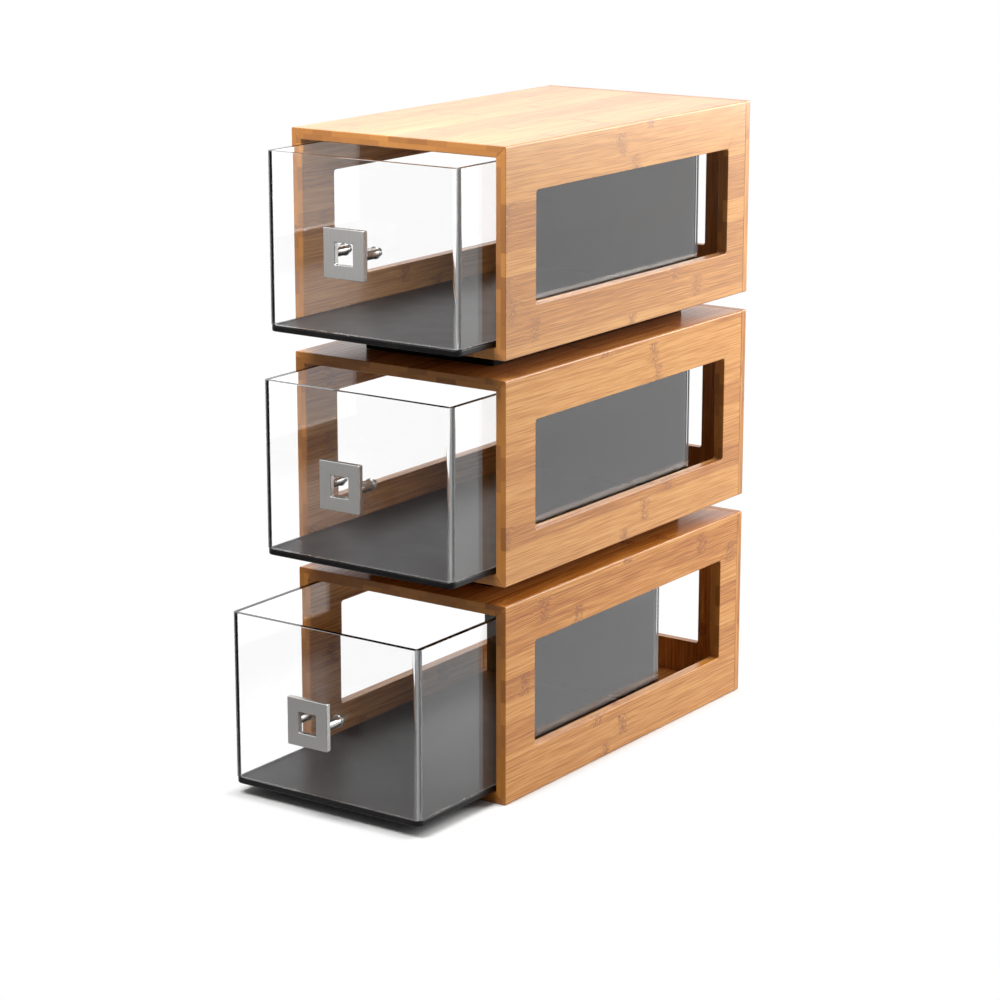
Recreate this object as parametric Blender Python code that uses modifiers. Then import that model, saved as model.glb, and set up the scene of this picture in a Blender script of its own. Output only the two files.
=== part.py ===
"""Three-tier bamboo display case with clear pull-out drawers, as an assembly of separate solids.

Metres, +Z up. X runs across the front, Y runs from the cases' front edges to the rear, and Z is the height
above the surface that the lowest case stands on. The origin is the centre of the lowest case's underside.
Each tier is a bamboo box that is open in front, with a clear drawer in it. A black spacer block carries each
upper tier, held by four screws that run down through the block into the case below.
"""

import math

import bmesh
import bpy

# Case, alike in every tier
CASE_WIDTH = 0.222
CASE_DEPTH = 0.393
CASE_HEIGHT = 0.1775
PANEL_THICKNESS = 0.010
BACK_PANEL_THICKNESS = 0.008
LONG_EDGE_RADIUS = 0.0015
FRONT_EDGE_EASE = 0.0008
BACK_PANEL_EASE = 0.0006
WINDOW_FRONT_STILE = 0.0445
WINDOW_REAR_STILE = 0.038
WINDOW_BOTTOM_RAIL = 0.041
WINDOW_TOP_RAIL = 0.0405
WINDOW_CORNER_RADIUS = 0.0026
BACK_WINDOW_STILE = 0.0415

# Spacer block between two tiers, with its screws
SPACER_HEIGHT = 0.0165
SPACER_INSET = 0.043
SPACER_CORNER_RADIUS = 0.003
SPACER_SCREW_INSET = 0.022
SPACER_SCREW_RADIUS = 0.002
SPACER_SCREW_HEAD_RADIUS = 0.004
SPACER_SCREW_HEAD_HEIGHT = 0.0025
SPACER_SCREW_TIP = 0.003
SPACER_SCREW_BITE = 0.0065
SPACER_SCREW_SINK = 0.0004
DRIVE_RECESS_RADIUS = 0.0014
DRIVE_RECESS_DEPTH = 0.0014

# Drawer, alike in every tier, and how far each one stands out of its case
DRAWER_REAR_CLEARANCE = 0.0117
DRAWER_SIDE_CLEARANCE = 0.002
DRAWER_RIM_CLEARANCE = 0.0035
BASE_THICKNESS = 0.0055
BASE_CORNER_RADIUS = 0.007
BASE_EDGE_ROUNDING = 0.0014
WALL_THICKNESS = 0.0045
WALL_CORNER_RADIUS = 0.0055
BACK_WALL_THICKNESS = 0.0045
LOWER_DRAWER_PULL = 0.108
MIDDLE_DRAWER_PULL = 0.060
UPPER_DRAWER_PULL = 0.050

# Handle: a square plate on two round posts, each held by a screw from inside the drawer
HANDLE_HEIGHT = 0.0885
HANDLE_STANDOFF = 0.0175
PLATE_SIZE = 0.042
PLATE_HOLE_SIZE = 0.0185
PLATE_THICKNESS = 0.005
PLATE_EASE = 0.0006
PLATE_CORNER_RADIUS = 0.0008
POST_SPACING = 0.0314
POST_RADIUS = 0.0048
POST_EDGE_CHAMFER = 0.0004
POST_FLANGE_RADIUS = 0.0054
POST_FLANGE_THICKNESS = 0.0014
HANDLE_SCREW_RADIUS = 0.002
HANDLE_SCREW_HEAD_RADIUS = 0.0036
HANDLE_SCREW_HEAD_HEIGHT = 0.0022
HANDLE_SCREW_HEAD_ROUNDING = 0.0008
HANDLE_SCREW_BITE = 0.009

# Clearances: between seated pieces, under a running drawer, and round a screw in its hole
JOINT_GAP = 0.0003
RUNNING_CLEARANCE = 0.0003
SCREW_CLEARANCE = 0.0003
CUT_OVERRUN = 0.004

# Fineness of round work, in counts
ARC_SEGMENTS = 6
SMALL_ARC_SEGMENTS = 3
EASE_RESOLUTION = 1
POST_STEPS = 24
SCREW_STEPS = 16
HEXAGON_SIDES = 6

# How nearly a face's normal lies along a direction for the face to count as facing that way
FACING_SHARE = 0.9
MITRE_SHARE = 0.5
MERGE_SHARE = 0.01
FLAT_ANGLE = math.radians(1)
SHARP_ANGLE = math.radians(35)

# Worked out from the sizes above
FRONT_Y = -CASE_DEPTH / 2
TIER_PITCH = CASE_HEIGHT + SPACER_HEIGHT
TUBE_DEPTH = CASE_DEPTH - BACK_PANEL_THICKNESS - JOINT_GAP
DRAWER_LENGTH = TUBE_DEPTH - DRAWER_REAR_CLEARANCE
DRAWER_HALF_WIDTH = CASE_WIDTH / 2 - PANEL_THICKNESS - DRAWER_SIDE_CLEARANCE
BASE_BOTTOM = PANEL_THICKNESS + RUNNING_CLEARANCE
WALL_BOTTOM = BASE_BOTTOM + BASE_THICKNESS + JOINT_GAP
WALL_TOP = CASE_HEIGHT - PANEL_THICKNESS - DRAWER_RIM_CLEARANCE
WALL_HEIGHT = WALL_TOP - WALL_BOTTOM
MERGE_DISTANCE = JOINT_GAP * MERGE_SHARE

TIERS = (
    ("lower", LOWER_DRAWER_PULL),
    ("middle", MIDDLE_DRAWER_PULL),
    ("upper", UPPER_DRAWER_PULL),
)
SIDES = (("left", -1), ("right", 1))


def clear_scene():
    """Removes every object and gives back two new collections, for the parts and for the cutters."""
    for leftover in list(bpy.data.objects):
        bpy.data.objects.remove(leftover)
    parts = bpy.data.collections.new("display_case")
    cutters = bpy.data.collections.new("cutters")
    for collection in (parts, cutters):
        bpy.context.scene.collection.children.link(collection)
    return parts, cutters


def linear(hex_colour):
    """An sRGB colour such as "dca376" as linear red, green, blue and full alpha."""
    channels = [int(hex_colour[start:start + 2], 16) / 255 for start in (0, 2, 4)]
    curve = [c / 12.92 if c <= 0.04045 else ((c + 0.055) / 1.055) ** 2.4 for c in channels]
    return (*curve, 1)


def new_material(name, hex_colour, roughness, metallic=0, transmission=0):
    """A Principled material in one colour."""
    material = bpy.data.materials.new(name)
    material.use_nodes = True
    shader = material.node_tree.nodes["Principled BSDF"]
    shader.inputs["Base Color"].default_value = linear(hex_colour)
    shader.inputs["Roughness"].default_value = roughness
    shader.inputs["Metallic"].default_value = metallic
    shader.inputs["Transmission Weight"].default_value = transmission
    return material


def arc(centre_x, centre_y, radius, start, end, segments=ARC_SEGMENTS):
    """Points along a round stretch of an outline, from the start angle to the end angle in quarter turns."""
    points = []
    for step in range(segments + 1):
        angle = (start + (end - start) * step / segments) * math.pi / 2
        points.append((centre_x + radius * math.cos(angle), centre_y + radius * math.sin(angle)))
    return points


def rounded_rectangle(half_x, half_y, radius, segments=ARC_SEGMENTS):
    """The outline of a rectangle with round corners, centred on the origin."""
    across = half_x - radius
    along = half_y - radius
    corners = ((across, along), (-across, along), (-across, -along), (across, -along))
    points = []
    for quarter, (corner_x, corner_y) in enumerate(corners):
        points += arc(corner_x, corner_y, radius, quarter, quarter + 1, segments)
    return points


def place(shape, parent, location, rotation=(0, 0, 0)):
    """Hangs an object on its parent empty at a location and a rotation."""
    shape.parent = parent
    shape.location = location
    shape.rotation_euler = rotation


def add_object(name, mesh, collection, material=None):
    """A new object that holds the mesh, in the collection, with its own copy of the material."""
    shape = bpy.data.objects.new(name, mesh)
    collection.objects.link(shape)
    if material:
        own = material.copy()
        own.name = name
        mesh.materials.append(own)
    return shape


def flat_mesh(name, outlines, thickness, ease=0):
    """The mesh of a flat piece: outlines in XY, filled between them, as thick as asked along Z.

    The first outline is the rim and any further one is a hole. With an ease, every edge of both faces is
    rounded by that much, inside the outlines.
    """
    curve = bpy.data.curves.new(name, "CURVE")
    curve.dimensions = "2D"
    curve.fill_mode = "BOTH"
    curve.extrude = thickness / 2 - ease
    curve.bevel_depth = ease
    curve.bevel_resolution = EASE_RESOLUTION
    curve.offset = -ease
    for outline in outlines:
        spline = curve.splines.new("POLY")
        spline.points.add(len(outline) - 1)
        for point, (x, y) in zip(spline.points, outline):
            point.co = (x, y, 0, 1)
        spline.use_cyclic_u = True
    drawing = bpy.data.objects.new(name, curve)
    bpy.context.scene.collection.objects.link(drawing)
    bpy.context.view_layer.update()
    mesh = bpy.data.meshes.new_from_object(drawing.evaluated_get(bpy.context.evaluated_depsgraph_get()))
    bpy.data.objects.remove(drawing)
    work = bmesh.new()
    work.from_mesh(mesh)
    bmesh.ops.remove_doubles(work, verts=work.verts, dist=MERGE_DISTANCE)
    bmesh.ops.recalc_face_normals(work, faces=work.faces)
    work.to_mesh(mesh)
    work.free()
    return mesh


def turned(name, profile, collection, material=None, steps=SCREW_STEPS):
    """A turned piece: the profile of radius and height, from the top down its outer side, spun about Z."""
    mesh = bpy.data.meshes.new(name)
    corners = [(radius, 0, height) for radius, height in profile]
    mesh.from_pydata(corners, [(i, i + 1) for i in range(len(corners) - 1)], [])
    shape = add_object(name, mesh, collection, material)
    screw = shape.modifiers.new("turn", "SCREW")
    screw.steps = steps
    screw.render_steps = steps
    screw.use_merge_vertices = True
    screw.merge_threshold = MERGE_DISTANCE
    return shape


def mark_cutter(shape):
    """Keeps a cutter out of the finished object."""
    shape.hide_render = True
    shape.display_type = "WIRE"


def cut(shape, cutter):
    """Takes the cutter out of the shape."""
    boolean = shape.modifiers.new(cutter.name, "BOOLEAN")
    boolean.operation = "DIFFERENCE"
    boolean.solver = "EXACT"
    boolean.object = cutter


def new_empty(name, collection, location):
    """An empty that carries the pieces of one case or one drawer."""
    empty = bpy.data.objects.new(name, None)
    collection.objects.link(empty)
    empty.location = location
    return empty


def mitred_panel(name, length, parts, material):
    """A board of the case's tube, mitred at both ends, with its outer face up and its depth along Z.

    The outline is the board's section: its outer long edges are a half of the tube's rounded corners, and
    each mitre lies half a joint gap inside the corner's 45 degree plane.
    """
    half = length / 2 - JOINT_GAP / math.sqrt(2)
    inner = half - PANEL_THICKNESS
    round_x = half - LONG_EDGE_RADIUS
    outline = [(-inner, -PANEL_THICKNESS), (inner, -PANEL_THICKNESS)]
    outline += arc(round_x, -LONG_EDGE_RADIUS, LONG_EDGE_RADIUS, 0.5, 1, SMALL_ARC_SEGMENTS)
    outline += arc(-round_x, -LONG_EDGE_RADIUS, LONG_EDGE_RADIUS, 1, 1.5, SMALL_ARC_SEGMENTS)
    mesh = flat_mesh(name, [outline], TUBE_DEPTH)
    work = bmesh.new()
    work.from_mesh(mesh)
    bmesh.ops.dissolve_limit(work, angle_limit=FLAT_ANGLE, verts=work.verts, edges=work.edges)
    front = [edge for edge in work.edges if is_front_edge(edge)]
    bmesh.ops.bevel(
        work, geom=front, offset=FRONT_EDGE_EASE, segments=SMALL_ARC_SEGMENTS, profile=0.5, affect="EDGES"
    )
    work.to_mesh(mesh)
    work.free()
    return add_object(name, mesh, parts, material)


def is_front_edge(edge):
    """Whether an edge of a mitred board runs along its front face, clear of the mitres."""
    normals = [face.normal for face in edge.link_faces]
    faces_front = [normal.z > FACING_SHARE for normal in normals]
    is_mitre = [abs(normal.x) > MITRE_SHARE and normal.y < -MITRE_SHARE for normal in normals]
    return any(faces_front) and not all(faces_front) and not any(is_mitre)


def build_case(tier, parent, parts, cutters, wood):
    """The bamboo box of one tier: four mitred boards and a back panel, with windows. Gives its floor and top."""
    middle_y = TUBE_DEPTH / 2
    middle_z = CASE_HEIGHT / 2
    boards = (
        ("top_panel", CASE_WIDTH, (0, middle_y, CASE_HEIGHT), 0),
        ("right_panel", CASE_HEIGHT, (CASE_WIDTH / 2, middle_y, middle_z), 1),
        ("bottom_panel", CASE_WIDTH, (0, middle_y, 0), 2),
        ("left_panel", CASE_HEIGHT, (-CASE_WIDTH / 2, middle_y, middle_z), 3),
    )
    built = {}
    for part, length, location, quarter in boards:
        board = mitred_panel(f"{tier}_{part}", length, parts, wood)
        place(board, parent, location, (math.pi / 2, quarter * math.pi / 2, 0))
        built[part] = board

    window_height = CASE_HEIGHT - WINDOW_BOTTOM_RAIL - WINDOW_TOP_RAIL
    window_z = WINDOW_BOTTOM_RAIL + window_height / 2
    window_length = CASE_DEPTH - WINDOW_FRONT_STILE - WINDOW_REAR_STILE
    opening = rounded_rectangle(window_length / 2, window_height / 2, WINDOW_CORNER_RADIUS)
    cutter_mesh = flat_mesh(f"{tier}_window_cutter", [opening], CASE_WIDTH + CUT_OVERRUN)
    cutter = add_object(f"{tier}_window_cutter", cutter_mesh, cutters)
    mark_cutter(cutter)
    place(cutter, parent, (0, WINDOW_FRONT_STILE + window_length / 2, window_z), (math.pi / 2, 0, math.pi / 2))
    for side, _ in SIDES:
        cut(built[f"{side}_panel"], cutter)

    rim = rounded_rectangle(CASE_WIDTH / 2, CASE_HEIGHT / 2, LONG_EDGE_RADIUS, SMALL_ARC_SEGMENTS)
    back_half = CASE_WIDTH / 2 - BACK_WINDOW_STILE
    hole = rounded_rectangle(back_half, window_height / 2, WINDOW_CORNER_RADIUS)
    raised_hole = [(x, y + window_z - middle_z) for x, y in hole]
    name = f"{tier}_back_panel"
    back_mesh = flat_mesh(name, [rim, raised_hole], BACK_PANEL_THICKNESS, BACK_PANEL_EASE)
    back = add_object(name, back_mesh, parts, wood)
    place(back, parent, (0, CASE_DEPTH - BACK_PANEL_THICKNESS / 2, middle_z), (math.pi / 2, 0, 0))
    return built["bottom_panel"], built["top_panel"]


def drawer_wall_outline():
    """The plan of the clear wall: the front and two sides in one bent sheet, from above."""
    half = DRAWER_HALF_WIDTH
    bend = WALL_CORNER_RADIUS
    inside = half - WALL_THICKNESS
    inner_bend = bend - WALL_THICKNESS
    outline = [(half, DRAWER_LENGTH)]
    outline += arc(half - bend, bend, bend, 0, -1)
    outline += arc(bend - half, bend, bend, -1, -2)
    outline += [(-half, DRAWER_LENGTH), (-inside, DRAWER_LENGTH)]
    outline += arc(bend - half, bend, inner_bend, -2, -1)
    outline += arc(half - bend, bend, inner_bend, -1, 0)
    outline += [(inside, DRAWER_LENGTH)]
    return outline


def build_drawer(tier, parent, parts, cutters, materials):
    """One drawer: a black base, the clear wall, a black back and the handle. Y = 0 is its front face."""
    base_rim = rounded_rectangle(DRAWER_HALF_WIDTH, DRAWER_LENGTH / 2, BASE_CORNER_RADIUS)
    base_mesh = flat_mesh(f"{tier}_drawer_base", [base_rim], BASE_THICKNESS, BASE_EDGE_ROUNDING)
    base = add_object(f"{tier}_drawer_base", base_mesh, parts, materials["black"])
    place(base, parent, (0, DRAWER_LENGTH / 2, BASE_BOTTOM + BASE_THICKNESS / 2))

    wall_mesh = flat_mesh(f"{tier}_drawer_wall", [drawer_wall_outline()], WALL_HEIGHT)
    wall = add_object(f"{tier}_drawer_wall", wall_mesh, parts, materials["clear"])
    place(wall, parent, (0, 0, WALL_BOTTOM + WALL_HEIGHT / 2))

    back_half = DRAWER_HALF_WIDTH - WALL_THICKNESS - JOINT_GAP
    back_rim = [
        (-back_half, -WALL_HEIGHT / 2),
        (back_half, -WALL_HEIGHT / 2),
        (back_half, WALL_HEIGHT / 2),
        (-back_half, WALL_HEIGHT / 2),
    ]
    back_mesh = flat_mesh(f"{tier}_drawer_back", [back_rim], BACK_WALL_THICKNESS)
    back = add_object(f"{tier}_drawer_back", back_mesh, parts, materials["gloss_black"])
    back_y = DRAWER_LENGTH - BACK_WALL_THICKNESS / 2
    place(back, parent, (0, back_y, WALL_BOTTOM + WALL_HEIGHT / 2), (math.pi / 2, 0, 0))
    build_handle(tier, parent, parts, cutters, materials, wall)


def build_handle(tier, parent, parts, cutters, materials, wall):
    """The square plate, its two posts, and the screws that hold them through the clear wall."""
    outlines = [
        rounded_rectangle(size / 2, size / 2, PLATE_CORNER_RADIUS, SMALL_ARC_SEGMENTS)
        for size in (PLATE_SIZE, PLATE_HOLE_SIZE)
    ]
    name = f"{tier}_handle_plate"
    plate_mesh = flat_mesh(name, outlines, PLATE_THICKNESS, PLATE_EASE)
    plate = add_object(name, plate_mesh, parts, materials["brushed_steel"])
    plate_y = -HANDLE_STANDOFF - PLATE_THICKNESS / 2
    place(plate, parent, (0, plate_y, HANDLE_HEIGHT), (math.pi / 2, 0, 0))

    for side, sign in SIDES:
        post_x = sign * POST_SPACING / 2
        post = turned(f"{tier}_{side}_post", post_profile(), parts, materials["polished_steel"], POST_STEPS)
        place(post, parent, (post_x, -JOINT_GAP, HANDLE_HEIGHT), (math.pi / 2, 0, 0))
        screw = turned(f"{tier}_{side}_screw", handle_screw_profile(), parts, materials["screw_steel"])
        head_y = WALL_THICKNESS + JOINT_GAP
        place(screw, parent, (post_x, head_y, HANDLE_HEIGHT), (-math.pi / 2, 0, 0))
        recess = drive_recess(f"{tier}_{side}_screw_recess", cutters)
        place(recess, parent, (post_x, head_y + HANDLE_SCREW_HEAD_HEIGHT, HANDLE_HEIGHT), (-math.pi / 2, 0, 0))
        cut(screw, recess)
        hole = wall_hole(f"{tier}_{side}_wall_hole", cutters)
        place(hole, parent, (post_x, 0, HANDLE_HEIGHT), (-math.pi / 2, 0, 0))
        cut(wall, hole)


def post_profile():
    """A post with a flange at the wall and a blind bore for its screw, standing on the wall at height 0."""
    length = HANDLE_STANDOFF - JOINT_GAP * 2
    bore = HANDLE_SCREW_RADIUS + SCREW_CLEARANCE
    bore_depth = HANDLE_SCREW_BITE + SCREW_CLEARANCE
    return [
        (0, length),
        (POST_RADIUS - POST_EDGE_CHAMFER, length),
        (POST_RADIUS, length - POST_EDGE_CHAMFER),
        (POST_RADIUS, POST_FLANGE_THICKNESS),
        (POST_FLANGE_RADIUS - POST_EDGE_CHAMFER, POST_FLANGE_THICKNESS),
        (POST_FLANGE_RADIUS, POST_FLANGE_THICKNESS - POST_EDGE_CHAMFER),
        (POST_FLANGE_RADIUS, 0),
        (bore, 0),
        (bore, bore_depth),
        (0, bore_depth),
    ]


def handle_screw_profile():
    """A button-head screw, with its head standing on the wall's inner face at height 0 and its shank below."""
    edge = HANDLE_SCREW_HEAD_RADIUS - HANDLE_SCREW_HEAD_ROUNDING
    edge_height = HANDLE_SCREW_HEAD_HEIGHT - HANDLE_SCREW_HEAD_ROUNDING
    tip = WALL_THICKNESS + JOINT_GAP * 2 + HANDLE_SCREW_BITE
    head = arc(edge, edge_height, HANDLE_SCREW_HEAD_ROUNDING, 1, 0, SMALL_ARC_SEGMENTS)
    shank = [(HANDLE_SCREW_RADIUS, 0), (HANDLE_SCREW_RADIUS, -tip), (0, -tip)]
    return [(0, HANDLE_SCREW_HEAD_HEIGHT), *head, (HANDLE_SCREW_HEAD_RADIUS, 0), *shank]


def drive_recess(name, cutters):
    """The cutter of a hexagon socket, from above a screw's head down to the socket's floor."""
    profile = [
        (0, CUT_OVERRUN),
        (DRIVE_RECESS_RADIUS, CUT_OVERRUN),
        (DRIVE_RECESS_RADIUS, -DRIVE_RECESS_DEPTH),
        (0, -DRIVE_RECESS_DEPTH),
    ]
    recess = turned(name, profile, cutters, steps=HEXAGON_SIDES)
    mark_cutter(recess)
    return recess


def wall_hole(name, cutters):
    """The cutter of a screw's hole through the drawer's clear front."""
    radius = HANDLE_SCREW_RADIUS + SCREW_CLEARANCE
    far = WALL_THICKNESS + CUT_OVERRUN
    hole = turned(name, [(0, far), (radius, far), (radius, -CUT_OVERRUN), (0, -CUT_OVERRUN)], cutters)
    mark_cutter(hole)
    return hole


def spacer_screw_profile():
    """A countersunk wood screw, with the top of its head at height 0 and its point below."""
    length = PANEL_THICKNESS + SPACER_HEIGHT + SPACER_SCREW_BITE - SPACER_SCREW_SINK
    return [
        (0, 0),
        (SPACER_SCREW_HEAD_RADIUS, 0),
        (SPACER_SCREW_RADIUS, -SPACER_SCREW_HEAD_HEIGHT),
        (SPACER_SCREW_RADIUS, SPACER_SCREW_TIP - length),
        (0, -length),
    ]


def spacer_hole_profile():
    """The cutter round a spacer screw: a countersink, open above, and a hole that clears the shank."""
    radius = SPACER_SCREW_RADIUS + SCREW_CLEARANCE
    head = SPACER_SCREW_HEAD_RADIUS + SCREW_CLEARANCE
    depth = PANEL_THICKNESS + SPACER_HEIGHT + SPACER_SCREW_BITE - SPACER_SCREW_SINK + SCREW_CLEARANCE
    return [
        (0, CUT_OVERRUN),
        (head, CUT_OVERRUN),
        (head, 0),
        (radius, -SPACER_SCREW_HEAD_HEIGHT),
        (radius, -depth),
        (0, -depth),
    ]


def build_spacer(tier, parent, parts, cutters, materials, floor, top_below):
    """The black block under one tier, and the four screws through that tier's floor into the case below."""
    half_x = CASE_WIDTH / 2 - SPACER_INSET
    half_y = CASE_DEPTH / 2 - SPACER_INSET
    outline = rounded_rectangle(half_x, half_y, SPACER_CORNER_RADIUS, SMALL_ARC_SEGMENTS)
    name = f"{tier}_spacer"
    mesh = flat_mesh(name, [outline], SPACER_HEIGHT - JOINT_GAP * 2)
    spacer = add_object(name, mesh, parts, materials["black"])
    place(spacer, parent, (0, CASE_DEPTH / 2, -SPACER_HEIGHT / 2))
    for end, end_sign in (("front", -1), ("rear", 1)):
        for side, side_sign in SIDES:
            x = side_sign * (half_x - SPACER_SCREW_INSET)
            y = CASE_DEPTH / 2 + end_sign * (half_y - SPACER_SCREW_INSET)
            location = (x, y, PANEL_THICKNESS - SPACER_SCREW_SINK)
            name = f"{tier}_spacer_{end}_{side}_screw"
            screw = turned(name, spacer_screw_profile(), parts, materials["screw_steel"])
            place(screw, parent, location)
            recess = drive_recess(f"{name}_recess", cutters)
            place(recess, parent, location)
            cut(screw, recess)
            hole = turned(f"{name}_hole", spacer_hole_profile(), cutters)
            mark_cutter(hole)
            place(hole, parent, location)
            for drilled in (floor, spacer, top_below):
                cut(drilled, hole)


def shade_round_pieces(parts):
    """Shades every piece smooth across its round faces and sharp at its edges."""
    for shape in parts.objects:
        if shape.type == "MESH" and shape.data.polygons:
            shape.data.shade_smooth()
            shape.data.set_sharp_from_angle(angle=SHARP_ANGLE)


def main():
    """Builds the three tiers from the lowest up, each on the case below it."""
    parts, cutters = clear_scene()
    materials = {
        "wood": new_material("bamboo", "dca376", 0.35),
        "black": new_material("black_plastic", "141112", 0.4),
        "gloss_black": new_material("black_acrylic", "0f0b0c", 0.1),
        "clear": new_material("clear_acrylic", "f8fafa", 0.03, transmission=1),
        "brushed_steel": new_material("brushed_steel", "a8a8a6", 0.35, metallic=1),
        "polished_steel": new_material("polished_steel", "c8c8c6", 0.15, metallic=1),
        "screw_steel": new_material("screw_steel", "9a9a98", 0.3, metallic=1),
    }
    top_below = None
    for level, (tier, pull) in enumerate(TIERS):
        base_height = level * TIER_PITCH
        case = new_empty(f"{tier}_case", parts, (0, FRONT_Y, base_height))
        slide = new_empty(f"{tier}_drawer_slide", parts, (0, FRONT_Y - pull, base_height))
        floor, top = build_case(tier, case, parts, cutters, materials["wood"])
        build_drawer(tier, slide, parts, cutters, materials)
        if top_below:
            build_spacer(tier, case, parts, cutters, materials, floor, top_below)
        top_below = top
    shade_round_pieces(parts)


main()
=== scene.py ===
"""The looks of a three-tier bamboo display case with clear pull-out drawers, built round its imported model.

Metres, +Z up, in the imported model's own frame: X runs across the front, Y from the front to the rear, and Z
is the height. Each sub-assembly is a class. It reads the place of its nodes from the frame, builds a finer
surface for each one with numpy, and dresses it in its finish.
"""

from __future__ import annotations

import logging
import math
from collections.abc import Callable, Iterable, Mapping
from dataclasses import dataclass
from enum import Enum

import bmesh
import bpy
import numpy as np
from mathutils import Matrix, Vector

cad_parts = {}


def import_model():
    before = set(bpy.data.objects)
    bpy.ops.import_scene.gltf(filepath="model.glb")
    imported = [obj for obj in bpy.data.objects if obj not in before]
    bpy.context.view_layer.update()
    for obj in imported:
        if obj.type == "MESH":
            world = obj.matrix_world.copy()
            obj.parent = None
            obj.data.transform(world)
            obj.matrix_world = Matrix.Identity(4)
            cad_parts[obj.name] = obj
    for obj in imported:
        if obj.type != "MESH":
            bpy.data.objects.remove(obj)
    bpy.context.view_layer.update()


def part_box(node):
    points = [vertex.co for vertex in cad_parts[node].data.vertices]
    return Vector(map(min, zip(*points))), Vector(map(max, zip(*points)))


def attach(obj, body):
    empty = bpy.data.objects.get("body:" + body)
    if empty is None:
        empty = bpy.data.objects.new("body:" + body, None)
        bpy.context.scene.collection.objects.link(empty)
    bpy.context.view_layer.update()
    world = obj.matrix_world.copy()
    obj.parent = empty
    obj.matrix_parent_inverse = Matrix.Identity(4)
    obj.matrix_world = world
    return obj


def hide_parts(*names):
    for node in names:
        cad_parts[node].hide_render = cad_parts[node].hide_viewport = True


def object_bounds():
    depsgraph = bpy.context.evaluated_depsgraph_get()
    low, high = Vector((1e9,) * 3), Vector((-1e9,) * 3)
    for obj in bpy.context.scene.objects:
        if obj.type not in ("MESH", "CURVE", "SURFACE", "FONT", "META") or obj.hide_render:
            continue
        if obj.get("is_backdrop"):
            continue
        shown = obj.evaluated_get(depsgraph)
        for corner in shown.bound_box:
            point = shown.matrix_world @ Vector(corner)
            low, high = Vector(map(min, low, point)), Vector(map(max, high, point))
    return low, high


LOG = logging.getLogger("display_case")
MM = 0.001
QUARTER_TURN = math.pi / 2
CORNER_SPLIT = 1 - 1 / math.sqrt(2)
# How many different board patterns there can be.
SEEDS = 97
# The Mix node's colour inputs and colour output, by number.
COLOUR_A, COLOUR_B, MIXED = 6, 7, 2

# Short names for the types in the hints below.
Material = bpy.types.Material
Piece = bpy.types.Object
Socket = bpy.types.NodeSocket
Sockets = Iterable[Socket]
Reach = float | np.ndarray
Span = tuple[Reach, Reach]


class Tier(Enum):
    """The three storeys, from the lowest up."""

    LOWER = "lower"
    MIDDLE = "middle"
    UPPER = "upper"


class Way(Enum):
    """A direction in the model's frame."""

    LEFT = (-1.0, 0.0, 0.0)
    RIGHT = (1.0, 0.0, 0.0)
    FRONT = (0.0, -1.0, 0.0)
    REAR = (0.0, 1.0, 0.0)
    DOWN = (0.0, 0.0, -1.0)
    UP = (0.0, 0.0, 1.0)

    @property
    def vector(self) -> np.ndarray:
        """The direction as an array."""
        return np.array(self.value)


class Cut(Enum):
    """Which way a face of a bamboo board was cut."""

    LONG = "long_grain"
    END = "end_grain"


def linear(hex_colour: str) -> tuple[float, float, float, float]:
    """Turns an sRGB colour into linear light.

    Args:
        hex_colour: six hex digits, such as "dca376".

    Returns:
        Red, green and blue in linear light, and full alpha.
    """
    share = np.array([int(hex_colour[i:i + 2], 16) for i in (0, 2, 4)]) / 255
    light = np.where(share <= 0.04045, share / 12.92, ((share + 0.055) / 1.055) ** 2.4)
    return (*light.tolist(), 1.0)


def corners(box: Iterable[Vector]) -> tuple[np.ndarray, ...]:
    """The lowest and the highest corner of a box, as arrays."""
    return tuple(np.array(corner) for corner in box)


@dataclass(frozen=True)
class Graph:
    """The nodes of one material or of the world."""

    tree: bpy.types.NodeTree

    def add(self, kind: str, *first: object, out: int | str = 0, at: Mapping | None = None,
            **rest: object) -> Socket:
        """Adds a node with its settings, and sets or links its inputs.

        Args:
            kind: the node's type, without ShaderNode in front.
            first: what its first inputs take, in order: a value, or the output that feeds it.
            out: which output to give back.
            at: what other inputs take, by their numbers.
            rest: the node's own properties, and other inputs by name, with _ for a space.

        Returns:
            The chosen output socket.
        """
        node = self.tree.nodes.new(f"ShaderNode{kind}")
        named = {key: value for key, value in rest.items() if not hasattr(node, key)}
        for key in rest:
            if key not in named:
                setattr(node, key, rest[key])
        self.feed(node, *first, at=at, **named)
        return node.outputs[out]

    def feed(self, node: bpy.types.Node, *first: object, at: Mapping | None = None, **named: object) -> None:
        """Sets or links a node's inputs.

        Args:
            node: the node.
            first: what its first inputs take, in order: a value, or the output that feeds it.
            at: what other inputs take, by their numbers.
            named: what other inputs take, by name with _ for a space.
        """
        spaced = {key.replace("_", " "): value for key, value in named.items()}
        for socket, value in (*enumerate(first), *(at or {}).items(), *spaced.items()):
            if isinstance(value, Socket):
                self.tree.links.new(value, node.inputs[socket])
            else:
                node.inputs[socket].default_value = value


def new_material(name: str, **constants: object) -> tuple[Material, Graph, bpy.types.Node]:
    """Makes a material with one Principled shader.

    Args:
        name: the material's name.
        constants: shader inputs, with _ for a space, that are the same all over the surface.

    Returns:
        The material, its graph and its shader node.
    """
    material = bpy.data.materials.new(name)
    material.use_nodes = True
    graph = Graph(material.node_tree)
    shader = material.node_tree.nodes["Principled BSDF"]
    graph.feed(shader, **constants)
    return material, graph, shader


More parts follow.
